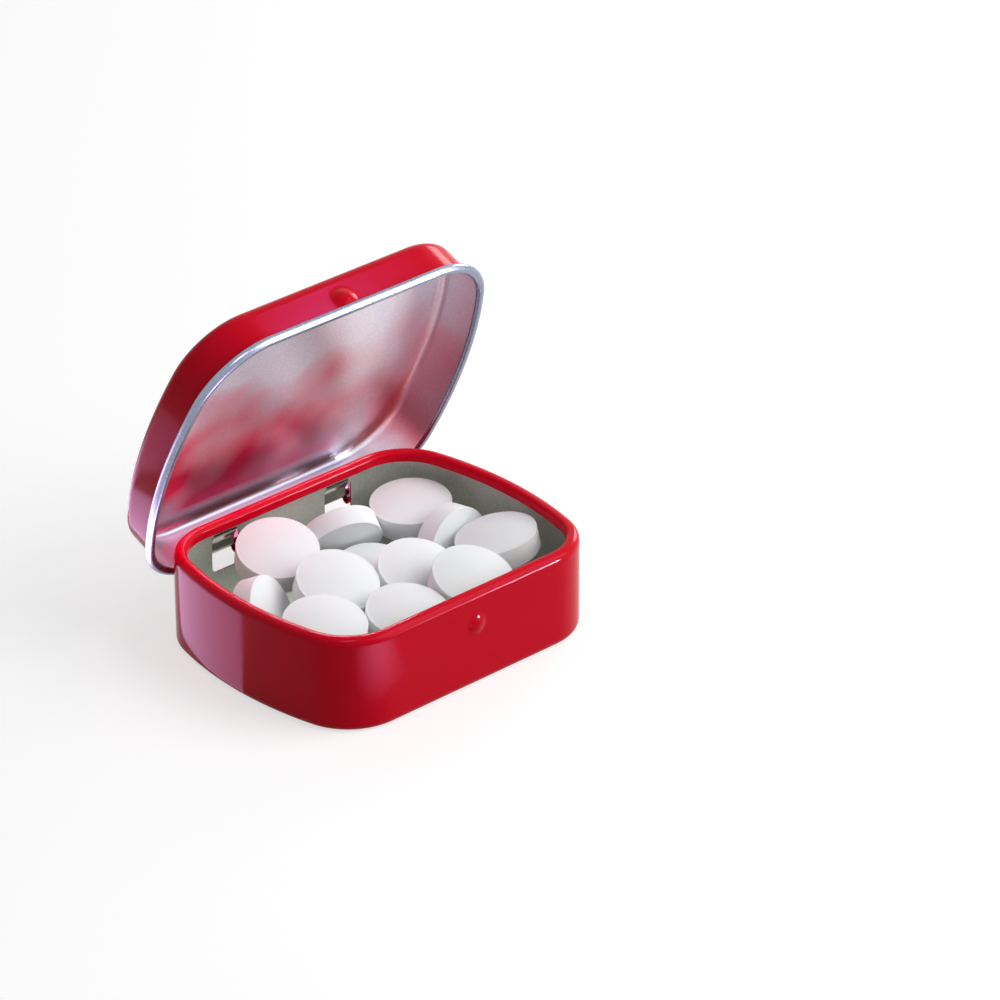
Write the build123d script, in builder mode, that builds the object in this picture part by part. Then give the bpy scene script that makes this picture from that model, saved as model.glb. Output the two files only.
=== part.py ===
from build123d import *
import math
import os

os.makedirs("parts", exist_ok=True)

# Hinged mint tin with its mints, lid open, in millimetres.
# Origin: centre of the base's underside. +X runs along the hinge, -Y is the front, +Z is up.

# Sheet, the angle of each flat in its bends, and the base tray
sheet = 0.25
flat_angle = 30.0
base_half_length = 28.5
base_half_depth = 22.6
base_height = 15.8
corner_radius = 10.2
end_radius = 62.0
floor_edge_radius = 1.2

# Rim of the base, rolled inward into a hollow bead
rim_width = 2.1
rim_depth = 1.9
rim_outer_radius = 1.2
rim_inner_radius = 0.7
rim_tuck_radius = 0.4
rim_tuck = 1.1

# Lid, drawn to slip over the base, with an outward curl at its lower edge
end_gap = 1.05
side_gap = 1.55
lid_clearance = 0.15
lid_edge_radius = 1.7
curl_radius = 0.76
curl_angle = 290.0
curl_height = 8.6

# Hinge: the base's lanced tabs wrap round bars that bridge notches in the lid
open_angle = 67.0
hinge_height = 9.5
hinge_reach = 1.35
hinge_bar_radius = 0.55
hinge_bar_grip = 0.8
hinge_clearance = 0.06
wrap_angle = 270.0
knuckle_spacing = 23.0
knuckle_width = 4.6
knuckle_side_clearance = 0.3
notch_headroom = 0.4
tab_bend_radius = 0.8
window_width = 5.5
window_bottom = 6.2
window_top = 12.4
window_corner_radius = 0.9

# Catch: a bump pressed outward in each front wall
base_bump_radius = 1.7
base_bump_rise = 0.45
base_bump_height = 10.55
lid_bump_radius = 2.1
lid_bump_rise = 0.7
lid_bump_lift = 0.4

# Mints: thick pressed discs
mint_radius = 6.5
mint_thickness = 4.9

# Where each mint of the pile lies: along, across and up as shares of a mint's radius, then
# how far it leans from lying flat and which way it leans, in degrees
mint_place_shares = {
    "mint_01": (-1.34, 2.06, 1.70, 18, -115),
    "mint_02": (-2.95, 0.69, 1.17, 66, -60),
    "mint_03": (-1.33, -0.05, 1.68, 20, -100),
    "mint_04": (0.55, 0.77, 0.84, 16, -110),
    "mint_05": (0.75, 2.21, 1.31, 60, 72),
    "mint_06": (2.71, 0.40, 1.10, 84, -84),
    "mint_07": (2.78, 1.92, 1.44, 6, -150),
    "mint_08": (2.91, -1.02, 1.68, 12, 140),
    "mint_09": (0.77, -0.54, 1.40, 20, -95),
    "mint_10": (1.12, -2.06, 1.70, 20, -92),
    "mint_11": (-2.89, -1.42, 1.70, 12, -105),
    "mint_12": (-0.91, -2.07, 1.53, 12, -100),
    "mint_13": (-1.91, -1.72, 0.44, 0, 0),
    "mint_14": (2.68, -1.38, 0.44, 0, 0),
}

# One overrun serves every cut
overrun = 2.0


def corner_of(half_length, half_depth, end_arc, corner_arc):
    """Centre of the corner arc, and the half angle of the bulged end that it meets."""
    across = half_depth - corner_arc
    along = half_length - end_arc + math.sqrt((end_arc - corner_arc) ** 2 - across ** 2)
    return along, across, math.degrees(math.asin(across / (end_arc - corner_arc)))


def carry_round(half_length, half_depth, end_arc, corner_arc, draw_section):
    """Carry a wall section round the outline: straight sides, bulged ends and corners.

    The section's local x points outward from the outline, and its y is up.
    """
    along, across, end_angle = corner_of(half_length, half_depth, end_arc, corner_arc)
    side = draw_section(Plane((0, half_depth, 0), x_dir=(0, 1, 0), z_dir=(1, 0, 0)))
    corner = draw_section(Plane((along, half_depth, 0), x_dir=(0, 1, 0), z_dir=(1, 0, 0)))
    end = draw_section(Plane((half_length, 0, 0), x_dir=(1, 0, 0), z_dir=(0, -1, 0)))
    corner_axis = Axis((along, across, 0), (0, 0, -1))
    end_axis = Axis((half_length - end_arc, 0, 0), (0, 0, 1))
    extrude(side, amount=along)
    revolve(corner, axis=corner_axis, revolution_arc=90 - end_angle)
    revolve(end, axis=end_axis, revolution_arc=end_angle)
    mirror(about=Plane.YZ)
    mirror(about=Plane.XZ)


def draw_outline(plane, half_length, half_depth, end_arc, corner_arc):
    """The flat face inside an outline."""
    along, across, end_angle = corner_of(half_length, half_depth, end_arc, corner_arc)
    turn = math.radians(end_angle)
    middle = (math.pi / 2 + turn) / 2
    tip_x = along + corner_arc * math.cos(turn)
    tip_y = across + corner_arc * math.sin(turn)
    knee_x = along + corner_arc * math.cos(middle)
    knee_y = across + corner_arc * math.sin(middle)
    with BuildSketch(plane) as face:
        with BuildLine():
            Line((0, half_depth), (along, half_depth))
            ThreePointArc((along, half_depth), (knee_x, knee_y), (tip_x, tip_y))
            ThreePointArc((tip_x, tip_y), (half_length, 0), (tip_x, -tip_y))
            ThreePointArc((tip_x, -tip_y), (knee_x, -knee_y), (along, -half_depth))
            Line((along, -half_depth), (0, -half_depth))
            mirror(about=Plane.YZ)
        make_face()
    return face.sketch


def draw_bent_sheet(plane, start, heading, moves):
    """Section of a bent sheet of even thickness, drawn along its middle from start.

    Each move is a straight length, then a bend's radius and its angle, over 0 to the left.
    A bend is a run of short flats, so that it takes few facets where it goes round a corner.
    """
    x, y = start
    turn = math.radians(heading)
    stations = [(x, y, turn)]
    for length, radius, bend in moves:
        x += length * math.cos(turn)
        y += length * math.sin(turn)
        stations.append((x, y, turn))
        flats = round(abs(bend) / flat_angle)
        for flat in range(flats):
            step = math.radians(bend / flats)
            chord = 2 * radius * math.sin(abs(step) / 2)
            x += chord * math.cos(turn + step / 2)
            y += chord * math.sin(turn + step / 2)
            turn += step
            stations.append((x, y, turn))
    half = sheet / 2
    left = [(x - half * math.sin(turn), y + half * math.cos(turn)) for x, y, turn in stations]
    right = [(x + half * math.sin(turn), y - half * math.cos(turn)) for x, y, turn in stations]
    with BuildSketch(plane) as section:
        with BuildLine():
            Polyline(*left, *reversed(right), close=True)
        make_face()
    return section.sketch


def draw_base_section(plane):
    """Sheet of the tray: up from the floor, then over and in at the rim, and tucked under."""
    half = sheet / 2
    moves = (
        (sheet, floor_edge_radius - half, 90),
        (base_height - floor_edge_radius - rim_outer_radius, rim_outer_radius - half, 90),
        (rim_width - rim_outer_radius - rim_inner_radius, rim_inner_radius - half, 90),
        (rim_depth - rim_inner_radius - rim_tuck_radius, rim_tuck_radius - half, 90),
        (rim_tuck - rim_tuck_radius, 0, 0),
    )
    return draw_bent_sheet(plane, (-floor_edge_radius - sheet, half), 0, moves)


def draw_lid_section(plane):
    """Sheet of the lid: down from the panel's edge, then curled outward at the bottom."""
    half = sheet / 2
    moves = (
        (sheet, lid_edge_radius - half, -90),
        (lid_top - lid_edge_radius - curl_height, curl_radius - half, curl_angle),
    )
    return draw_bent_sheet(plane, (-lid_edge_radius - sheet, lid_top - half), 0, moves)


def draw_tab_section(plane):
    """Sheet of a hinge tab: out from the window's upper edge and round the lid's bar."""
    wall_middle = base_half_depth - sheet / 2
    wrap_side = hinge_y - wrap_radius
    with BuildSketch(plane) as section:
        with BuildLine():
            FilletPolyline(
                (wall_middle, window_top + sheet),
                (wall_middle, window_top - sheet),
                (wrap_side, hinge_height + 2 * wrap_radius),
                (wrap_side, hinge_height),
                radius=tab_bend_radius,
            )
            CenterArc((hinge_y, hinge_height), wrap_radius, 180, wrap_angle)
        trace(line_width=sheet)
    return section.sketch


def cap_radius(radius, rise):
    """Radius of the sphere whose cap has this base radius and rise."""
    return (radius ** 2 + rise ** 2) / (2 * rise)


def draw_cap_profile(face_y, height, radius, rise):
    """Half the section of a round cap that stands out from a front face at face_y."""
    with BuildSketch(Plane((0, face_y, height), x_dir=(1, 0, 0), z_dir=(0, 0, 1))) as profile:
        with BuildLine():
            Line((0, 0), (radius, 0))
            RadiusArc((radius, 0), (0, -rise), cap_radius(radius, rise))
            Line((0, -rise), (0, 0))
        make_face()
    return profile.sketch


def press_bump(wall_y, height, radius, rise):
    """A round bump pressed outward in a front wall whose outer face is at wall_y."""
    for face_y, mode in ((wall_y, Mode.ADD), (wall_y + sheet, Mode.SUBTRACT)):
        profile = draw_cap_profile(face_y, height, radius, rise)
        revolve(profile, axis=Axis((0, face_y, height), (0, 1, 0)), mode=mode)


def side_plane(x):
    """A plane across the tin at x, whose local x is +Y and whose local y is +Z."""
    return Plane((x, 0, 0), x_dir=(0, 1, 0), z_dir=(1, 0, 0))


hinge_y = base_half_depth + hinge_reach
hinge_axis = Axis((0, hinge_y, hinge_height), (1, 0, 0))
wrap_radius = hinge_bar_radius + hinge_clearance + sheet / 2
knuckle_places = (-knuckle_spacing / 2, knuckle_spacing / 2)

lid_half_length = base_half_length + end_gap + sheet
lid_half_depth = base_half_depth + side_gap + sheet
lid_top = base_height + lid_clearance + sheet
lid_end_radius = end_radius + end_gap + sheet
lid_corner_radius = corner_radius + (end_gap + side_gap) / 2 + sheet

# Base: drawn tray with two hinge windows, whose lanced tabs wrap round the lid's bars
with BuildPart() as base_shell:
    tray_floor = draw_outline(
        Plane.XY,
        base_half_length - floor_edge_radius,
        base_half_depth - floor_edge_radius,
        end_radius - floor_edge_radius,
        corner_radius - floor_edge_radius,
    )
    extrude(tray_floor, amount=sheet)
    carry_round(base_half_length, base_half_depth, end_radius, corner_radius, draw_base_section)
    for knuckle_x in knuckle_places:
        window_middle = (window_bottom + window_top) / 2
        wall_plane = Plane(
            (knuckle_x, base_half_depth + overrun, window_middle),
            x_dir=(1, 0, 0),
            z_dir=(0, -1, 0),
        )
        with BuildSketch(wall_plane):
            RectangleRounded(window_width, window_top - window_bottom, window_corner_radius)
        extrude(amount=2 * overrun, mode=Mode.SUBTRACT)
        extrude(draw_tab_section(side_plane(knuckle_x)), amount=knuckle_width / 2, both=True)
    press_bump(-base_half_depth, base_bump_height, base_bump_radius, base_bump_rise)

base_shell.part.label = "base_shell"
export_step(base_shell.part, "parts/base_shell.step")

# Lid: made in its closed place, then swung open about the hinge
with BuildPart() as lid_shell:
    panel = draw_outline(
        Plane.XY.offset(lid_top - sheet),
        lid_half_length - lid_edge_radius,
        lid_half_depth - lid_edge_radius,
        lid_end_radius - lid_edge_radius,
        lid_corner_radius - lid_edge_radius,
    )
    extrude(panel, amount=sheet)
    carry_round(
        lid_half_length, lid_half_depth, lid_end_radius, lid_corner_radius, draw_lid_section
    )
    notch_width = knuckle_width + 2 * knuckle_side_clearance
    notch_top = hinge_height + wrap_radius + sheet / 2 + notch_headroom
    for knuckle_x in knuckle_places:
        with BuildSketch(Plane.XY.offset(notch_top)):
            with Locations((knuckle_x, lid_half_depth)):
                Rectangle(notch_width, 2 * overrun)
        extrude(amount=curl_height - curl_radius - notch_top - overrun, mode=Mode.SUBTRACT)
        with BuildSketch(side_plane(knuckle_x)):
            with Locations((hinge_y, hinge_height)):
                Circle(hinge_bar_radius)
        extrude(amount=notch_width / 2 + hinge_bar_grip, both=True)
    press_bump(-lid_half_depth, base_bump_height + lid_bump_lift, lid_bump_radius, lid_bump_rise)

lid_open = lid_shell.part.rotate(hinge_axis, -open_angle)
lid_open.label = "lid_shell"
export_step(lid_open, "parts/lid_shell.step")

# Mints: each lies at its own lean in the base
for name, (along_share, across_share, up_share, lean, heading) in mint_place_shares.items():
    centre = (along_share * mint_radius, across_share * mint_radius, up_share * mint_radius)
    tip = math.radians(lean)
    turn = math.radians(heading)
    upward = (math.sin(tip) * math.cos(turn), math.sin(tip) * math.sin(turn), math.cos(tip))
    with BuildPart() as mint:
        with BuildSketch(Plane(centre, z_dir=upward)):
            Circle(mint_radius)
        extrude(amount=mint_thickness / 2, both=True)
    mint.part.label = name
    export_step(mint.part, f"parts/{name}.step")
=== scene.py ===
import math
from functools import reduce

import bmesh
import bpy
from mathutils import Matrix, Vector


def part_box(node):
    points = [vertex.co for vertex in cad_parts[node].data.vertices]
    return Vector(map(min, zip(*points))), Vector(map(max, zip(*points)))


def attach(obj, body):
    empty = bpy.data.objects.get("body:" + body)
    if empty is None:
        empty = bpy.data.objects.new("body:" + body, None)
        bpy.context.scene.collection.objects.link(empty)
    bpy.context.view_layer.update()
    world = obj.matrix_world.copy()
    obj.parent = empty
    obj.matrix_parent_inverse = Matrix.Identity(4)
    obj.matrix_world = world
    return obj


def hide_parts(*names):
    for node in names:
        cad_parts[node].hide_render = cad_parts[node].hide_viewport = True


# Hinged mint tin with its mints, lid open. Metres, in the same frame as the CAD:
# +X runs along the hinge, -Y is the front and +Z is up.

# The tin's own sizes, as in the CAD source. Only the lid's edge and its curl differ a little: they
# are finer arcs here, and have to stay inside the CAD's box
sheet = 0.00025
base_half_length = 0.0285
base_half_depth = 0.0226
base_height = 0.0158
corner_radius = 0.0102
end_radius = 0.062
floor_edge_radius = 0.0012
rim_width = 0.0021
rim_depth = 0.0019
rim_outer_radius = 0.0012
rim_inner_radius = 0.0007
rim_tuck_radius = 0.0004
rim_tuck = 0.0011
end_gap = 0.00105
side_gap = 0.00155
lid_clearance = 0.00015
lid_edge_radius = 0.00175
curl_radius = 0.00075
curl_angle = 290
curl_height = 0.0086
open_angle = 67
hinge_reach = 0.00135
hinge_height = 0.0095
hinge_bar_radius = 0.00055
hinge_bar_grip = 0.0008
hinge_clearance = 0.00006
wrap_angle = 270
knuckle_places = (-0.0115, 0.0115)
knuckle_width = 0.0046
knuckle_side_clearance = 0.0003
notch_headroom = 0.0004
tab_bend_radius = 0.0008
window_width = 0.0055
window_bottom = 0.0062
window_top = 0.0124
window_corner_radius = 0.0009

# Catch bumps in the front walls, as in the CAD too: height of the middle, radius and rise
base_bump = (0.01055, 0.0017, 0.00045)
lid_bump = (0.01095, 0.0021, 0.0007)

# What follows from those sizes
hinge = Vector((0, base_half_depth + hinge_reach, hinge_height))
wrap_radius = hinge_bar_radius + hinge_clearance + sheet / 2
notch_width = knuckle_width + 2 * knuckle_side_clearance
notch_top = hinge_height + wrap_radius + sheet / 2 + notch_headroom
lid_half_length = base_half_length + end_gap + sheet
lid_half_depth = base_half_depth + side_gap + sheet
lid_top = base_height + lid_clearance + sheet
lid_end_radius = end_radius + end_gap + sheet
lid_corner_radius = corner_radius + (end_gap + side_gap) / 2 + sheet

# How far the cutting blocks reach on each side of the rear wall, and below the lid's curl
window_cut = 0.001
notch_cut = 0.003
notch_drop = 0.001

# Mints: each has a straight band with eased edges, a narrow flat land and a domed face
mint_radius = 0.0065
mint_band = 0.0034
mint_edge = 0.00012
mint_land = 0.0004
mint_rise = 0.00074

# How finely the sheet is drawn: steps along it, and degrees for each step round a bend or corner
run_step = 0.0004
side_step = 0.002
bend_step = 10
corner_step = 4
end_steps = 12

# The outline's steps are finer over the catch bump and a little past it. The bump is pressed into
# the wall's two faces where they look straight to the front
catch_reach = 1.15
catch_steps = 8
wall_reach = 1.1 * sheet
front_facing = -0.99

# Sides and steps of the round forms
bar_sides = 24
mint_sides = 72
dome_steps = 14
mint_edge_steps = 4
window_corner_steps = 5

# An edge is sharp where it turns by more degrees than this
sharp_angle = 40
mint_sharp_angle = 25

# Each shell's materials, by number: its outside, its inside, and its tabs or its curl and bars
outside, inside, edging = 0, 1, 2

# Enamel: its two reds, its gloss with the tint that its reflections take, and how grainy it is
enamel_red = (0.63, 0.0012, 0.015, 1)
enamel_deep = (0.58, 0.0008, 0.011, 1)
enamel_rough = (0.11, 0.17)
enamel_gloss = 0.08
enamel_tint = (1.0, 0.55, 0.85, 1)
enamel_grain = 0.15

# Bare tinplate: its darker and its lighter colour, and its smoothest and its roughest
tray_tinplate = ((0.58, 0.61, 0.55, 1), (0.68, 0.71, 0.65, 1), (0.40, 0.55))
tab_tinplate = ((0.66, 0.64, 0.60, 1), (0.78, 0.76, 0.72, 1), (0.16, 0.28))
lid_tinplate = ((0.74, 0.71, 0.78, 1), (0.84, 0.80, 0.87, 1), (0.30, 0.42))
curl_tinplate = ((0.22, 0.25, 0.34, 1), (0.31, 0.34, 0.43, 1), (0.24, 0.36))
tray_metallic = 0.7

# On all tinplate: how the rolling marks stretch, and how bright and how opaque its specks are
rolling_stretch = (0.3, 1, 1)
glint_gain = 1.3
glint_cover = 0.5

# The lid's inside, with light painted into its colour: its rear skirt, the same bare metal, is painted
# darker as painted shade, and a red reflection is painted in patches towards the hinge. The painted
# reflection fades upward, and to a share of itself on the right, both with ragged edges
skirt_painted_shade = (0.27, 0.27, 0.34, 1)
shaded_skirt_depth = 0.0013
shaded_skirt_blur = 0.0008
reflection_red = (0.80, 0.008, 0.115, 1)
reflection_bottom = 0.0145
reflection_blur = 0.0012
reflection_full_height = 0.026
reflection_top = 0.039
reflection_full_left = -0.004
reflection_right = 0.020
reflection_right_share = 0.35
reflection_ragged = 0.03
reflection_patch_start = 0.22
reflection_patch_full = 0.50
reflection_patch_share = 0.15

# Mints: their two whites, how rough and how glossy they are, and how much light goes into them and
# how far
mint_grey = (0.76, 0.795, 0.795, 1)
mint_white = (0.81, 0.845, 0.845, 1)
mint_rough = (0.5, 0.7)
mint_gloss = 0.08
mint_glow = 0.12
mint_glow_depth = 0.001

# Print on the lid's panel: its colours, how much of them the ink covers, how soft its edges are,
# and how far below the lid's top it ends
print_light = (0.62, 0.15, 0.22, 1)
print_dark = (0.20, 0.0015, 0.010, 1)
print_navy = (0.020, 0.040, 0.080, 1)
print_white = (0.82, 0.83, 0.84, 1)
print_cover = (0.75, 0.95)
print_edge = 0.00004
print_depth = 0.00012

# The print's repeat: its width and height, its tilt in degrees and how far each row steps along
repeat = (0.0118, 0.0072)
print_tilt = 12
row_shift = 0.37

# Motifs in one repeat: shape, middle, turn in degrees, and half sizes. A veined leaf has its
# vein's half sizes too, and a ring its line's width
light_motifs = (
    ("veined_leaf", (-0.0034, 0.0012), 28, (0.0023, 0.00085, 0.0017, 0.00009)),
    ("leaf", (-0.0022, -0.0012), -30, (0.0015, 0.0006)),
    ("ring", (0.0036, -0.0021), 0, (0.00075, 0.00075, 0.00018)),
    ("band", (0.0046, 0.0019), -20, (0.0014, 0.00012)),
    *(("band", (along, -0.0022), 70, (0.0005, 0.00009)) for along in (-0.0044, -0.0038, -0.0032)),
)
dark_motifs = (
    ("leaf", (0.0018, 0.0016), -35, (0.0022, 0.0009)),
    ("diamond", (0.0009, -0.0021), 0, (0.0008, 0.0011)),
    ("ring", (0.0045, -0.0003), 0, (0.0011, 0.0011, 0.0004)),
    ("band", (-0.0008, -0.0004), 15, (0.0019, 0.0003)),
)

# Badge in the middle of the panel, in half sizes: an oval over a ribbon, whose ends are notched
# like a V. A thin ring follows the oval's edge, but not across the ribbon
badge_oval = (0.0094, 0.0083)
badge_ribbon = (0.0205, 0.0037)
ribbon_notch = 0.0179
ribbon_notch_slope = 0.45
badge_ring = (0.0084, 0.0073, 0.00025)
ring_gap = (0.0205, 0.0031)

# In the badge's oval a stem and three leaves, each with its direction and its half length. A
# leaf's place, width and vein are shares of that length
badge_stem = (0.00016, 0.0026)
stem_place = -0.0030
badge_leaves = ((90, 0.0032), (150, 0.0029), (30, 0.0029))
leaf_place = 1.12
leaf_width = 0.36
leaf_vein = 0.75
leaf_vein_width = 0.00011

# On each half of the ribbon a row of diamonds, with their places along it and half widths, between
# two thin lines
row_middle = 0.0135
row_diamonds = ((-0.0033, 0.0008), (0.0, 0.0013), (0.0033, 0.0008))
diamond_height = 1.25
ribbon_line = (0.0047, 0.00012)
ribbon_line_place = 0.0028

# How bright the sky lights the tin, and the floor: its own grey, and what it adds where it is seen
# directly
sky_light = 0.31
floor_size = 6
floor_grey = (0.45, 0.45, 0.45, 1)
floor_glow = 0.62

# Cards on the floor that only gloss shows: beside the base's left end, behind the lid's left end
# and before the near corner. With them go the colours of their glow and of the lamp on the skirt
card_height = 0.0003
left_card = (
    (-0.0288, -0.0010), (-0.0600, 0.0330), (-0.0450, 0.0600), (-0.0285, 0.0600), (-0.0275, 0.0230),
    (-0.0285, 0.0120),
)
lid_card = (
    (-0.0120, 0.0605), (-0.0450, 0.0605), (-0.0700, 0.0640), (-0.1500, 0.0980), (-0.1500, 0.1600),
    (-0.0260, 0.1100),
)
corner_card = (
    (-0.0270, -0.0290), (-0.0420, -0.0520), (-0.0160, -0.0700), (0.0060, -0.0560), (-0.0060, -0.0320),
)
side_mauve = (0.85, 0.60, 0.97)
corner_mauve = (0.80, 0.60, 0.90)
haze_violet = (0.6, 0.3, 1.0)

# The photograph's camera: where it looks from, and where the tin's origin lies in its view
view_azimuth = math.radians(-42.55)
view_elevation = math.radians(28.54)
view_roll = math.radians(0.21)
view_distance = 0.8463
view_right = 0.01872
view_up = 0.01998
lens_millimetres = 198
sensor_millimetres = 36


def walk_sheet(start, heading, moves):
    """Points along a bent sheet's middle, each with its heading.

    Each of the moves is a straight run's length, then a bend's radius and its degrees to the left.
    """
    x, y = start
    turn = math.radians(heading)
    points = [(x, y, turn)]
    for length, radius, bend in moves:
        steps = max(1, round(length / run_step))
        for step in range(steps):
            x += length / steps * math.cos(turn)
            y += length / steps * math.sin(turn)
            points.append((x, y, turn))
        steps = round(abs(bend) / bend_step)
        for step in range(steps):
            part = math.radians(bend / steps)
            chord = 2 * radius * math.sin(abs(part) / 2)
            x += chord * math.cos(turn + part / 2)
            y += chord * math.sin(turn + part / 2)
            turn += part
            points.append((x, y, turn))
    return points


def two_sides(points):
    """The sheet's two faces, as the left one out and the right one back."""
    half = sheet / 2
    left = [(x - half * math.sin(turn), y + half * math.cos(turn)) for x, y, turn in points]
    right = [(x + half * math.sin(turn), y - half * math.cos(turn)) for x, y, turn in points]
    return left + right[::-1]


def base_sheet():
    """The base's sheet, from the floor's edge up the wall and round the rolled rim."""
    half = sheet / 2
    rise = base_height - floor_edge_radius - rim_outer_radius
    moves = (
        (sheet, floor_edge_radius - half, 90),
        (rise, rim_outer_radius - half, 90),
        (rim_width - rim_outer_radius - rim_inner_radius, rim_inner_radius - half, 90),
        (rim_depth - rim_inner_radius - rim_tuck_radius, rim_tuck_radius - half, 90),
        (rim_tuck - rim_tuck_radius, 0, 0),
    )
    return walk_sheet((-floor_edge_radius - sheet, half), 0, moves)


def lid_sheet():
    """The closed lid's sheet, from the panel's edge down the skirt and round the curl."""
    half = sheet / 2
    moves = (
        (sheet, lid_edge_radius - half, -90),
        (lid_top - lid_edge_radius - curl_height, curl_radius - half, curl_angle),
    )
    return walk_sheet((-lid_edge_radius - sheet, lid_top - half), 0, moves)


def tab_sheet():
    """A hinge tab: down from the window's upper edge, out, and round the lid's bar."""
    wall = base_half_depth - sheet / 2
    side = hinge.y - wrap_radius
    low = hinge_height + 2 * wrap_radius
    high = window_top - sheet
    bend = math.atan2(side - wall, high - low)
    trim = tab_bend_radius * math.tan(bend / 2)
    slope = math.hypot(side - wall, high - low)
    moves = (
        (2 * sheet - trim, tab_bend_radius, math.degrees(bend)),
        (slope - 2 * trim, tab_bend_radius, -math.degrees(bend)),
        (2 * wrap_radius - trim, wrap_radius, wrap_angle),
    )
    return walk_sheet((wall, window_top + sheet), -90, moves)


def spread(start, end, steps):
    """Evenly spaced values from the start up to the end, without the end itself."""
    return [start + (end - start) * step / steps for step in range(steps)]


def on_arc(x, y, radius, angle):
    """A point of an arc about x and y, with its outward direction in degrees."""
    turn = math.radians(angle)
    return x + radius * math.cos(turn), y + radius * math.sin(turn), angle


def walk_outline(half_length, half_depth, end_arc, corner_arc):
    """Points round the outline, each with its outward direction, close together by the catch."""
    across = half_depth - corner_arc
    along = half_length - end_arc + math.sqrt((end_arc - corner_arc) ** 2 - across ** 2)
    end_angle = math.degrees(math.asin(across / (end_arc - corner_arc)))
    near = lid_bump[1] * catch_reach
    straight = spread(0, near, catch_steps) + spread(near, along, round((along - near) / side_step))
    quarter = [(x, half_depth, 90) for x in straight]
    for angle in spread(90, end_angle, round((90 - end_angle) / corner_step)):
        quarter.append(on_arc(along, across, corner_arc, angle))
    for angle in spread(end_angle, 0, end_steps) + [0]:
        quarter.append(on_arc(half_length - end_arc, 0, end_arc, angle))
    right = quarter + [(x, -y, -angle) for x, y, angle in quarter[-2::-1]]
    return right + [(-x, y, 180 - angle) for x, y, angle in right[-2:0:-1]]


def press(place, away, bump):
    """How far a bump pressed in the front wall pushes a point of the sheet outward."""
    height, radius, rise = bump
    reach = math.hypot(place.x, place.z - height) / radius
    pressed = place.y < 0 and away.y < front_facing and reach < 1
    return rise * (1 - reach ** 2) if pressed else 0


def carry_round(outline, section, bump, finishes):
    """A mesh of the sheet carried round the outline and closed across its middle.

    finishes has the material's number for each step of the section.
    """
    work = bmesh.new()
    rings = []
    for x, y, angle in outline:
        turn = math.radians(angle)
        away = Vector((math.cos(turn), math.sin(turn), 0))
        ring = []
        for out, z in section:
            place = Vector((x, y, z)) + away * out
            push = press(place, away, bump) if abs(out) < wall_reach else 0
            ring.append(work.verts.new(place + away * push))
        rings.append(ring)
    for here, ring in enumerate(rings):
        following = rings[(here + 1) % len(rings)]
        for step, finish in enumerate(finishes):
            corners = (ring[step], following[step], following[step + 1], ring[step + 1])
            work.faces.new(corners).material_index = finish
    for end in (0, -1):
        cap = work.faces.new([ring[end] for ring in rings])
        cap.material_index = finishes[end]
    bmesh.ops.recalc_face_normals(work, faces=work.faces)
    return work


def add_along(work, section, caps, middle, width):
    """A closed section in Y and Z, carried along X for this width about the middle.

    Each of the caps lists points of the section that a face joins at both ends.
    """
    left = [work.verts.new((middle - width / 2, y, z)) for y, z in section]
    right = [work.verts.new((middle + width / 2, y, z)) for y, z in section]
    made = [work.faces.new([end[point] for point in cap]) for end in (left, right) for cap in caps]
    for here in range(len(section)):
        made.append(work.faces.new((left[here - 1], left[here], right[here], right[here - 1])))
    for face in made:
        face.material_index = edging
    bmesh.ops.recalc_face_normals(work, faces=made)


def add_tab(work, place):
    """A hinge tab of the base's sheet."""
    section = two_sides(tab_sheet())
    caps = [(step, step + 1, -step - 2, -step - 1) for step in range(len(section) // 2 - 1)]
    add_along(work, section, caps, place, knuckle_width)


def add_bar(work, place):
    """A round bar of the lid that a tab wraps, let into the skirt at both ends."""
    angles = spread(0, 360, bar_sides)
    section = [on_arc(hinge.y, hinge.z, hinge_bar_radius, angle)[:2] for angle in angles]
    add_along(work, section, [range(bar_sides)], place, notch_width + 2 * hinge_bar_grip)


def add_block(work, low, high, rounding):
    """A block between two corners. Its edges along Y are rounded, unless the rounding is 0."""
    size = Vector(high) - Vector(low)
    place = Matrix.Translation((Vector(low) + Vector(high)) / 2) @ Matrix.Diagonal((*size, 1))
    made = bmesh.ops.create_cube(work, size=1, matrix=place)
    if rounding:
        edges = {edge for vert in made["verts"] for edge in vert.link_edges}
        along = [edge for edge in edges if abs((edge.verts[0].co - edge.verts[1].co).y) > size.y / 2]
        bmesh.ops.bevel(
            work, geom=along, offset=rounding, segments=window_corner_steps, affect="EDGES", profile=0.5
        )


def shade(mesh, sharp):
    """Smooth shading, with edges sharp where they turn by more than this many degrees."""
    mesh.shade_smooth()
    mesh.set_sharp_from_angle(angle=math.radians(sharp))


def to_object(work, name, materials, sharp=sharp_angle):
    """An object with the work's mesh."""
    mesh = bpy.data.meshes.new(name)
    work.to_mesh(mesh)
    work.free()
    for material in materials:
        mesh.materials.append(material)
    shade(mesh, sharp)
    piece = bpy.data.objects.new(name, mesh)
    bpy.context.scene.collection.objects.link(piece)
    return piece


def cut(piece, work):
    """Cuts the work's blocks out of a piece, and returns what is left of its mesh to work on."""
    cutter = to_object(work, "cutter", ())
    modifier = piece.modifiers.new("cut", "BOOLEAN")
    modifier.operation = "DIFFERENCE"
    modifier.solver = "EXACT"
    modifier.object = cutter
    graph = bpy.context.evaluated_depsgraph_get()
    piece.data = bpy.data.meshes.new_from_object(piece.evaluated_get(graph))
    piece.modifiers.clear()
    bpy.data.objects.remove(cutter)
    remaining = bmesh.new()
    remaining.from_mesh(piece.data)
    return remaining


def cut_knuckles(piece, rear, reach, width, bottom, top, rounding=0):
    """Cuts an opening for each knuckle in the rear wall, and returns the mesh to work on."""
    work = bmesh.new()
    for place in knuckle_places:
        low = (place - width / 2, rear - reach, bottom)
        high = (place + width / 2, rear + reach, top)
        add_block(work, low, high, rounding)
    return cut(piece, work)


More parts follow.
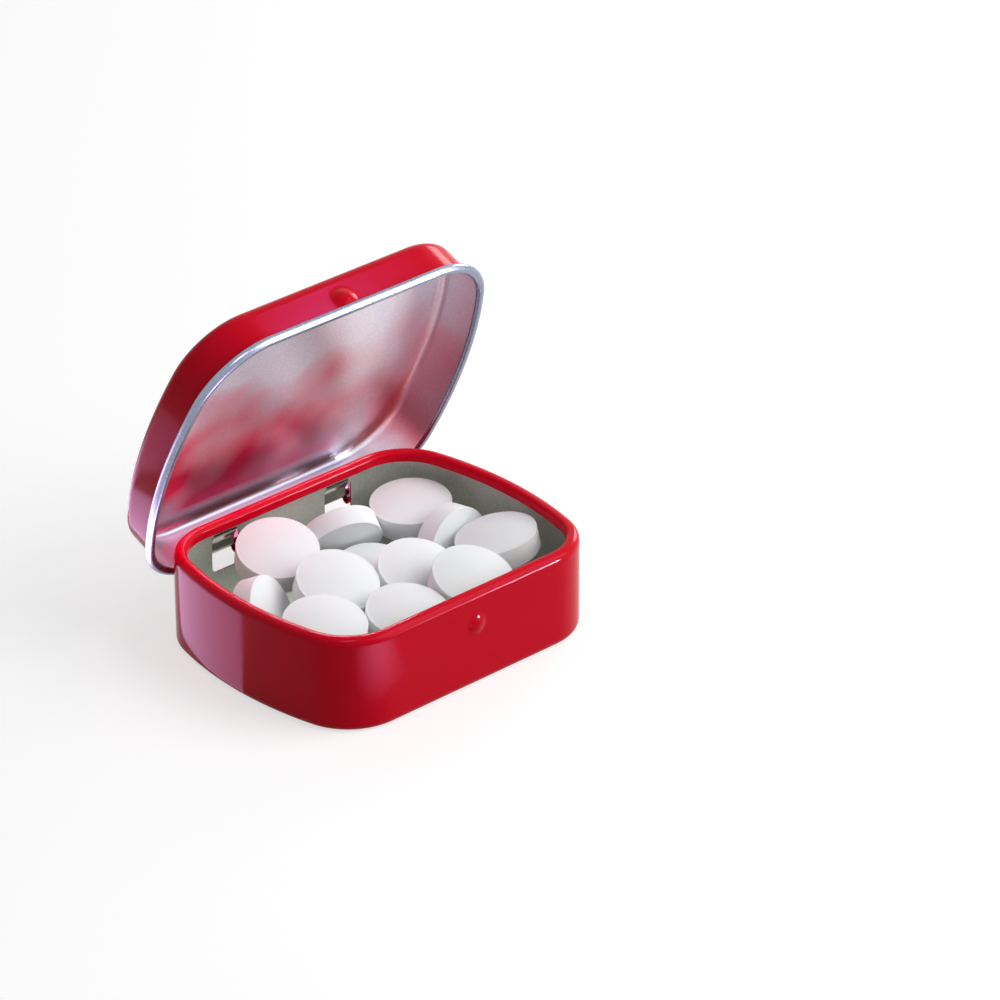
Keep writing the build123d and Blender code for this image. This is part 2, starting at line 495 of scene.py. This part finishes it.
def put_back(piece, work):
    """Gives a piece the work's mesh."""
    work.to_mesh(piece.data)
    work.free()
    shade(piece.data, sharp_angle)


def make_base(enamel, plate, bright):
    """The tray: enamel on the sheet's outside and rolled rim, bare plate inside.

    Its section runs along the inside first, and comes back along the outside.
    """
    outline = walk_outline(base_half_length, base_half_depth, end_radius, corner_radius)
    section = two_sides(base_sheet())
    half = len(section) // 2
    finishes = [inside] * half + [outside] * (half - 1)
    work = carry_round(outline, section, base_bump, finishes)
    piece = to_object(work, "tin_base", (enamel, plate, bright))
    work = cut_knuckles(
        piece, base_half_depth, window_cut, window_width, window_bottom, window_top, window_corner_radius
    )
    for place in knuckle_places:
        add_tab(work, place)
    put_back(piece, work)
    return piece


def make_lid(paint, plate, curl):
    """The lid, made closed and swung open: print outside, bare plate inside and on the curl.

    Its section runs along the outside first. The paint goes over the curl's first step.
    """
    outline = walk_outline(lid_half_length, lid_half_depth, lid_end_radius, lid_corner_radius)
    line = lid_sheet()
    section = two_sides(line)
    painted = len(line) - curl_angle // bend_step
    bare_curl = len(section) - 1 - 2 * painted
    finishes = [outside] * painted + [edging] * bare_curl + [inside] * painted
    work = carry_round(outline, section, lid_bump, finishes)
    piece = to_object(work, "tin_lid", (paint, plate, curl))
    notch_bottom = curl_height - curl_radius - notch_drop
    work = cut_knuckles(piece, lid_half_depth, notch_cut, notch_width, notch_bottom, notch_top)
    for place in knuckle_places:
        add_bar(work, place)
    swing = Matrix.Translation(hinge) @ Matrix.Rotation(-math.radians(open_angle), 4, "X")
    work.transform(swing @ Matrix.Translation(-hinge))
    put_back(piece, work)
    return piece


def mint_profile():
    """Half a mint's section from the middle of one face to the middle of the other."""
    dome = mint_radius - mint_land
    ball = (dome ** 2 + mint_rise ** 2) / (2 * mint_rise)
    face = []
    for step in range(dome_steps + 1):
        out = dome * math.sin(math.pi / 2 * step / dome_steps)
        face.append((out, mint_band / 2 + math.sqrt(ball ** 2 - out ** 2) - (ball - mint_rise)))
    for step in range(mint_edge_steps + 1):
        turn = math.pi / 2 * step / mint_edge_steps
        out = mint_radius - mint_edge + mint_edge * math.sin(turn)
        face.append((out, mint_band / 2 - mint_edge + mint_edge * math.cos(turn)))
    return face + [(out, -up) for out, up in reversed(face)]


def make_mint(name, node, material):
    """A domed mint in the place and lean of its CAD disc."""
    axis = max(node.data.polygons, key=lambda face: face.area).normal.copy()
    if axis.z < 0:
        axis = -axis
    facing = axis.to_track_quat("Z", "Y").to_matrix()
    low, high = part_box(name)
    centre = (low + high) / 2
    work = bmesh.new()

    def point(out, up, turn=0):
        return work.verts.new(centre + facing @ Vector((out * math.cos(turn), out * math.sin(turn), up)))

    profile = mint_profile()
    first = point(*profile[0])
    last = point(*profile[-1])
    turns = spread(0, 2 * math.pi, mint_sides)
    rings = [[point(out, up, turn) for turn in turns] for out, up in profile[1:-1]]
    for side in range(mint_sides):
        after = (side + 1) % mint_sides
        work.faces.new((first, rings[0][side], rings[0][after]))
        work.faces.new((last, rings[-1][after], rings[-1][side]))
        for ring, below in zip(rings, rings[1:]):
            work.faces.new((ring[side], below[side], below[after], ring[after]))
    bmesh.ops.recalc_face_normals(work, faces=work.faces)
    piece = to_object(work, "pressed_" + name, (material,), mint_sharp_angle)
    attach(piece, "mints")
    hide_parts(name)


class Shader:
    """Adds nodes to a new material or world and joins them, so that it reads as a recipe."""

    def __init__(self, owner):
        owner.use_nodes = True
        self.owner = owner
        self.tree = owner.node_tree
        self.surface = self.tree.nodes.get("Principled BSDF") or self.tree.nodes["Background"]

    def add(self, kind, inputs=(), **settings):
        """A node. Each input is given by its name or number, as a value or as another's output."""
        node = self.tree.nodes.new(kind)
        for key, value in settings.items():
            setattr(node, key, value)
        for key, value in dict(inputs).items():
            self.join(value, node.inputs[key])
        return node

    def join(self, value, socket):
        if isinstance(value, bpy.types.NodeSocket):
            self.tree.links.new(value, socket)
        else:
            socket.default_value = value

    def set(self, **inputs):
        """Sets the surface's own sockets, named with _ for each space."""
        for key, value in inputs.items():
            self.join(value, self.surface.inputs[key.replace("_", " ")])

    def math(self, operation, *values):
        return self.add("ShaderNodeMath", dict(enumerate(values)), operation=operation).outputs[0]

    def vector_math(self, operation, *vectors):
        """Both outputs: 0 is a vector, and "Value" a number."""
        return self.add("ShaderNodeVectorMath", dict(enumerate(vectors)), operation=operation).outputs

    def split(self, vector):
        """A vector's x, y and z."""
        return self.add("ShaderNodeSeparateXYZ", {0: vector}).outputs[:3]

    def ramp(self, value, start, end, low=0.0, high=1.0, shape="LINEAR"):
        """Goes from low to high as the value goes from the start to the end, and no further."""
        step = {"Value": value, "From Min": start, "From Max": end, "To Min": low, "To Max": high}
        return self.add("ShaderNodeMapRange", step, interpolation_type=shape).outputs[0]

    def above(self, value, edge, softness):
        """1 where the value is over the edge, with a soft step."""
        return self.ramp(value, edge - softness, edge + softness)

    def below(self, value, edge, softness):
        """1 where the value is under the edge."""
        return self.flip(self.above(value, edge, softness))

    def both(self, *masks):
        """1 where every mask is."""
        return reduce(lambda first, second: self.math("MULTIPLY", first, second), masks)

    def either(self, *masks):
        """1 where any mask is."""
        return reduce(lambda first, second: self.math("MAXIMUM", first, second), masks)

    def flip(self, mask):
        return self.math("SUBTRACT", 1.0, mask)

    def mix(self, mask, first, second):
        """A colour: the first where the mask is 0, the second where it is 1."""
        return self.add("ShaderNodeMix", {0: mask, 6: first, 7: second}, data_type="RGBA").outputs[2]

    def blend(self, mask, first, second):
        """A number: the first where the mask is 0, the second where it is 1."""
        return self.add("ShaderNodeMix", {0: mask, 2: first, 3: second}, data_type="FLOAT").outputs[0]

    def place(self):
        """Where a point is in the object's own space, which is the CAD's frame at rest."""
        return self.add("ShaderNodeTexCoord").outputs["Object"]

    def noise(self, vector, scale, detail, roughness=0.5):
        inputs = {"Vector": vector, "Scale": scale, "Detail": detail, "Roughness": roughness}
        return self.add("ShaderNodeTexNoise", inputs).outputs[0]

    def turned(self, vector, angle, centre=(0, 0, 0), axis=(0, 0, 1)):
        """The same place turned by these degrees about an axis through the centre."""
        inputs = {"Vector": vector, "Center": centre, "Axis": axis, "Angle": math.radians(angle)}
        return self.add("ShaderNodeVectorRotate", inputs).outputs[0]

    def closed(self, place):
        """Where a point of the open lid is with the lid closed."""
        return self.turned(place, open_angle, hinge, (1, 0, 0))

    def cell(self, vector, width, height, shift):
        """Where a point lies from the middle of its cell, in rows that step along by shift."""
        x, y = self.split(vector)[:2]
        up = self.math("DIVIDE", y, height)
        stepped = self.math("MULTIPLY", self.math("FLOOR", up), shift)
        along = self.math("ADD", self.math("DIVIDE", x, width), stepped)
        across = self.math("MULTIPLY", self.math("SUBTRACT", self.math("FRACT", along), 0.5), width)
        rise = self.math("MULTIPLY", self.math("SUBTRACT", self.math("FRACT", up), 0.5), height)
        return self.add("ShaderNodeCombineXYZ", {0: across, 1: rise}).outputs[0]

    def moved(self, vector, x, y):
        """The same place measured from another middle."""
        return self.vector_math("ADD", vector, (-x, -y, 0))[0]

    def oval(self, vector, half_width, half_height):
        """1 inside an oval about the middle, with an edge about as soft as a print's."""
        scaled = self.vector_math("MULTIPLY", vector, (1 / half_width, 1 / half_height, 0))[0]
        reach = self.vector_math("LENGTH", scaled)["Value"]
        return self.below(reach, 1, print_edge / min(half_width, half_height))

    def ring(self, vector, half_width, half_height, line):
        """1 on an oval's line, which is inside its half sizes."""
        hole = self.oval(vector, half_width - line, half_height - line)
        return self.both(self.oval(vector, half_width, half_height), self.flip(hole))

    def leaf(self, vector, half_length, half_width):
        """1 inside a pointed leaf along X: where two discs overlap."""
        radius = (half_length ** 2 + half_width ** 2) / (2 * half_width)
        drop = radius - half_width
        upper = self.oval(self.moved(vector, 0, -drop), radius, radius)
        return self.both(upper, self.oval(self.moved(vector, 0, drop), radius, radius))

    def veined_leaf(self, vector, half_length, half_width, half_vein_length, half_vein_width):
        """1 inside a leaf, but not on its vein."""
        vein = self.band(vector, half_vein_length, half_vein_width)
        return self.both(self.leaf(vector, half_length, half_width), self.flip(vein))

    def band(self, vector, half_width, half_height):
        """1 inside an upright oblong about the middle."""
        x, y = self.split(vector)[:2]
        wide = self.below(self.math("ABSOLUTE", x), half_width, print_edge)
        return self.both(wide, self.below(self.math("ABSOLUTE", y), half_height, print_edge))

    def diamond(self, vector, half_width, half_height):
        """1 inside a diamond about the middle."""
        x, y = self.split(vector)[:2]
        along = self.math("DIVIDE", self.math("ABSOLUTE", x), half_width)
        up = self.math("DIVIDE", self.math("ABSOLUTE", y), half_height)
        return self.below(self.math("ADD", along, up), 1, print_edge / half_height)

    def bump(self, height, distance, strength):
        """A normal that follows fine relief."""
        inputs = {"Height": height, "Distance": distance, "Strength": strength}
        return self.add("ShaderNodeBump", inputs).outputs[0]


def new_material(name):
    """A shader for a new material, which is its owner."""
    return Shader(bpy.data.materials.new(name))


def mottled_red(shader, place):
    """Enamel's colour, which varies a little between its two reds."""
    return shader.mix(shader.noise(place, scale=45, detail=2), enamel_deep, enamel_red)


def finish_enamel(shader, place, colour):
    """Glossy enamel on tinplate: a faint orange peel, and gloss that varies a little."""
    cloud = shader.noise(place, scale=120, detail=2)
    grain = shader.math("MULTIPLY", shader.noise(place, scale=1800, detail=3), enamel_grain)
    peel = shader.math("ADD", shader.noise(place, scale=350, detail=2), grain)
    shader.set(
        Base_Color=colour,
        Roughness=shader.blend(cloud, *enamel_rough),
        Specular_IOR_Level=enamel_gloss,
        Specular_Tint=enamel_tint,
        Normal=shader.bump(peel, distance=0.000012, strength=0.6),
    )


def make_enamel():
    """The base's outside: plain red enamel."""
    shader = new_material("red_enamel")
    place = shader.place()
    finish_enamel(shader, place, mottled_red(shader, place))
    return shader.owner


def draw_motifs(shader, place, motifs):
    """A mask of the repeat's motifs."""
    cell = shader.cell(shader.turned(place, print_tilt), *repeat, row_shift)
    masks = []
    for shape, middle, turn, sizes in motifs:
        draw = getattr(shader, shape)
        masks.append(draw(shader.turned(shader.moved(cell, *middle), turn), *sizes))
    return shader.either(*masks)


def draw_badge(shader, place):
    """A mask of the badge's navy ground: its oval, and its ribbon with notched ends."""
    x, y = shader.split(place)[:2]
    slope = shader.math("MULTIPLY", shader.math("ABSOLUTE", y), ribbon_notch_slope)
    end = shader.math("ADD", slope, ribbon_notch)
    within = shader.above(shader.math("SUBTRACT", end, shader.math("ABSOLUTE", x)), 0, print_edge)
    ribbon = shader.both(shader.band(place, *badge_ribbon), within)
    return shader.either(ribbon, shader.oval(place, *badge_oval))


def draw_line_work(shader, place):
    """A mask of the badge's white line work: ring, stem and leaves, and each ribbon half's row."""
    masks = [
        shader.both(shader.ring(place, *badge_ring), shader.flip(shader.band(place, *ring_gap))),
        shader.band(shader.moved(place, 0, stem_place), *badge_stem),
    ]
    for angle, length in badge_leaves:
        leaf = shader.moved(shader.turned(place, -angle), length * leaf_place, 0)
        sizes = (length, length * leaf_width, length * leaf_vein, leaf_vein_width)
        masks.append(shader.veined_leaf(leaf, *sizes))
    row = shader.moved(shader.vector_math("ABSOLUTE", place)[0], row_middle, 0)
    for along, size in row_diamonds:
        masks.append(shader.diamond(shader.moved(row, along, 0), size, size * diamond_height))
    masks.append(shader.band(shader.moved(row, 0, ribbon_line_place), *ribbon_line))
    return shader.either(*masks)


def make_print():
    """The lid's outside: enamel with a generic leaf print and badge on its panel."""
    shader = new_material("printed_enamel")
    place = shader.place()
    closed = shader.closed(place)
    flat = shader.vector_math("MULTIPLY", closed, (1, 1, 0))[0]
    panel = shader.above(shader.split(closed)[2], lid_top - print_depth, print_edge / 2)
    ink = shader.both(panel, shader.blend(shader.noise(place, scale=2500, detail=2), *print_cover))
    badge = shader.both(panel, draw_badge(shader, flat))
    layers = (
        (shader.both(ink, draw_motifs(shader, flat, light_motifs)), print_light),
        (shader.both(ink, draw_motifs(shader, flat, dark_motifs)), print_dark),
        (badge, print_navy),
        (shader.both(badge, draw_line_work(shader, flat)), print_white),
    )
    colour = mottled_red(shader, place)
    for mask, paint in layers:
        colour = shader.mix(mask, colour, paint)
    finish_enamel(shader, place, colour)
    return shader.owner


def add_painted_light(shader, place, colour):
    """The lid's inside: painted shade darkens its rear skirt, and a painted red reflection lies in
    patches towards the hinge.
    """
    y_closed = shader.split(shader.closed(place))[1]
    # Painted shade: the rear skirt, the same metal as the rest, is painted darker
    skirt = shader.above(y_closed, lid_half_depth - shaded_skirt_depth, shaded_skirt_blur)
    x, y, z = shader.split(place)
    uneven = shader.math("SUBTRACT", shader.noise(place, scale=90, detail=1), 0.5)
    wobble = shader.math("MULTIPLY", uneven, reflection_ragged)
    patches = shader.noise(place, scale=75, detail=1)
    # A painted red reflection, in patches, fading upward and to the right
    painted_light = shader.both(
        shader.ramp(patches, reflection_patch_start, reflection_patch_full, reflection_patch_share),
        shader.ramp(shader.math("ADD", z, wobble), reflection_top, reflection_full_height),
        shader.ramp(shader.math("ADD", x, wobble), reflection_right, reflection_full_left, reflection_right_share),
        shader.above(z, reflection_bottom, reflection_blur),
    )
    return shader.mix(painted_light, shader.mix(skirt, colour, skirt_painted_shade), reflection_red)


def make_plate(name, dark, light, rough, metallic=1.0, painted_light=False):
    """Bare tinplate: satin, with fine rolling marks along X, a mottled sheen and bright specks."""
    shader = new_material(name)
    place = shader.place()
    stretched = shader.vector_math("MULTIPLY", place, rolling_stretch)[0]
    rolling = shader.noise(stretched, scale=7000, detail=3, roughness=0.6)
    cloud = shader.noise(place, scale=160, detail=3)
    specks = shader.above(shader.noise(place, scale=3000, detail=2), edge=0.60, softness=0.06)
    glint = [min(glint_gain * channel, 1) for channel in light]
    mottled = shader.mix(cloud, dark, light)
    colour = shader.mix(shader.math("MULTIPLY", specks, glint_cover), mottled, glint)
    # Painted light, for the lid's plate: a rear skirt painted darker and a painted red reflection
    if painted_light:
        colour = add_painted_light(shader, place, colour)
    shader.set(
        Base_Color=colour,
        Metallic=metallic,
        Roughness=shader.blend(shader.math("MULTIPLY", rolling, cloud), *rough),
        Normal=shader.bump(rolling, distance=0.0000025, strength=0.4),
    )
    return shader.owner


def make_mint_material():
    """A pressed sweet: matt white with a fine powdery grain, lightly cloudy."""
    shader = new_material("pressed_mint")
    place = shader.place()
    powder = shader.noise(place, scale=2600, detail=5, roughness=0.65)
    cloud = shader.noise(place, scale=260, detail=2)
    shader.set(
        Base_Color=shader.mix(cloud, mint_grey, mint_white),
        Roughness=shader.blend(powder, *mint_rough),
        Normal=shader.bump(shader.math("ADD", powder, cloud), distance=0.00003, strength=0.45),
        Specular_IOR_Level=mint_gloss,
        Subsurface_Weight=mint_glow,
        Subsurface_Scale=mint_glow_depth,
        Subsurface_Radius=(1.0, 1.0, 1.0),
    )
    return shader.owner


def seen_directly(shader):
    """1 for rays that show what they meet: from the camera, off gloss and through glass."""
    path = shader.add("ShaderNodeLightPath").outputs
    return shader.either(path["Is Camera Ray"], path["Is Glossy Ray"], path["Is Transmission Ray"])


def make_floor():
    """A pale floor that shows white but keeps the tin's shadow."""
    shader = new_material("floor_white")
    shader.set(Base_Color=floor_grey, Roughness=1.0, Specular_IOR_Level=0, Emission_Color=(1, 1, 1, 1))
    shader.set(Emission_Strength=shader.math("MULTIPLY", seen_directly(shader), floor_glow))
    bpy.ops.mesh.primitive_plane_add(size=floor_size, location=(0, 0, 0))
    floor = bpy.context.object
    floor.name = "floor"
    floor.data.materials.append(shader.owner)


def make_sky():
    """A surround that shows white and lights the tin at a plain level."""
    sky = Shader(bpy.data.worlds.new("studio"))
    sky.set(Color=(1, 1, 1, 1), Strength=sky.blend(seen_directly(sky), sky_light, 1.0))
    bpy.context.scene.world = sky.owner


def direction(azimuth, elevation):
    """From the tin towards a point at this azimuth and elevation round it."""
    flat = math.cos(elevation)
    return Vector((math.sin(azimuth) * flat, -math.cos(azimuth) * flat, math.sin(elevation)))


def add_light(name, azimuth, elevation, distance, size, power, gloss_only=False, colour=(1, 1, 1)):
    """A square lamp that faces the tin, placed by its angles round it in degrees.

    One that is for gloss only adds no light to matt surfaces.
    """
    back = direction(math.radians(azimuth), math.radians(elevation))
    light = bpy.data.lights.new(name, "AREA")
    light.shape = "SQUARE"
    light.size = size
    light.energy = power
    light.color = colour
    lamp = bpy.data.objects.new(name, light)
    lamp.location = back * distance
    lamp.rotation_euler = back.to_track_quat("Z", "Y").to_euler()
    lamp.visible_diffuse = not gloss_only
    bpy.context.scene.collection.objects.link(lamp)


def add_card(name, corners, strength, colour, fade=None):
    """A glowing card on the floor that only gloss shows. At the radius fade its glow ends."""
    mesh = bpy.data.meshes.new(name)
    mesh.from_pydata([(x, y, card_height) for x, y in corners], [], [range(len(corners))])
    shader = new_material(name)
    if fade:
        middle = sum((vert.co for vert in mesh.vertices), Vector()) / len(corners)
        away = shader.vector_math("DISTANCE", shader.place(), middle)["Value"]
        strength = shader.ramp(away, 0.0, fade, low=strength, high=0.0, shape="SMOOTHSTEP")
    shader.set(Base_Color=(0, 0, 0, 1), Emission_Color=(*colour, 1), Emission_Strength=strength)
    mesh.materials.append(shader.owner)
    card = bpy.data.objects.new(name, mesh)
    for ray in ("camera", "diffuse", "transmission", "shadow"):
        setattr(card, "visible_" + ray, False)
    bpy.context.scene.collection.objects.link(card)


def make_camera():
    """The photograph's camera."""
    back = direction(view_azimuth, view_elevation)
    right = Vector((math.cos(view_azimuth), math.sin(view_azimuth), 0))
    level = Matrix((right, back.cross(right), back)).transposed()
    facing = level @ Matrix.Rotation(-view_roll, 3, "Z")
    camera = bpy.data.cameras.new("camera")
    camera.lens = lens_millimetres
    camera.sensor_width = sensor_millimetres
    holder = bpy.data.objects.new("camera", camera)
    holder.matrix_world = facing.to_4x4()
    holder.location = facing @ Vector((view_right, view_up, view_distance))
    bpy.context.scene.collection.objects.link(holder)
    bpy.context.scene.camera = holder


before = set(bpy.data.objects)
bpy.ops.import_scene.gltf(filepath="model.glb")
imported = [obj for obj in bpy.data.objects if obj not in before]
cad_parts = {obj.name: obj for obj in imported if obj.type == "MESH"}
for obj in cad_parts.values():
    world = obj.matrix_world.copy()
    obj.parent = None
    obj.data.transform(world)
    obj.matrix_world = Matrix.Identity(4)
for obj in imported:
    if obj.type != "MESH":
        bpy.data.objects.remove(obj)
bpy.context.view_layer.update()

tray = make_base(
    make_enamel(),
    make_plate("tray_tinplate", *tray_tinplate, metallic=tray_metallic),
    make_plate("tab_tinplate", *tab_tinplate),
)
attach(tray, "base")
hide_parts("base_shell")

# The lid's plate gets painted light: a rear skirt painted darker and a painted red reflection
lid = make_lid(
    make_print(),
    make_plate("lid_tinplate", *lid_tinplate, painted_light=True),
    make_plate("curl_tinplate", *curl_tinplate),
)
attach(lid, "lid")
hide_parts("lid_shell")

mint_material = make_mint_material()
for name in sorted(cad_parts):
    if name.startswith("mint"):
        make_mint(name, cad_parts[name], mint_material)

make_floor()
make_sky()
add_light("key_box", azimuth=40, elevation=40, distance=0.62, size=0.55, power=3.5)
add_light("spark_box", azimuth=38, elevation=3, distance=0.5, size=0.03, power=2.6, gloss_only=True)
add_light("edge_box", azimuth=105, elevation=20, distance=0.5, size=0.16, power=0.6)
add_light("rim_box", azimuth=-42, elevation=62, distance=0.5, size=0.12, power=0.5, gloss_only=True)
add_light(
    "haze_box", azimuth=105.1, elevation=57.7, distance=0.491, size=0.02, power=0.032,
    gloss_only=True, colour=haze_violet,
)
add_card("left_card", left_card, strength=6.6, colour=side_mauve)
add_card("lid_card", lid_card, strength=5, colour=side_mauve)
add_card("corner_card", corner_card, strength=16, colour=corner_mauve, fade=0.024)
make_camera()
bpy.context.scene.view_settings.view_transform = "Standard"
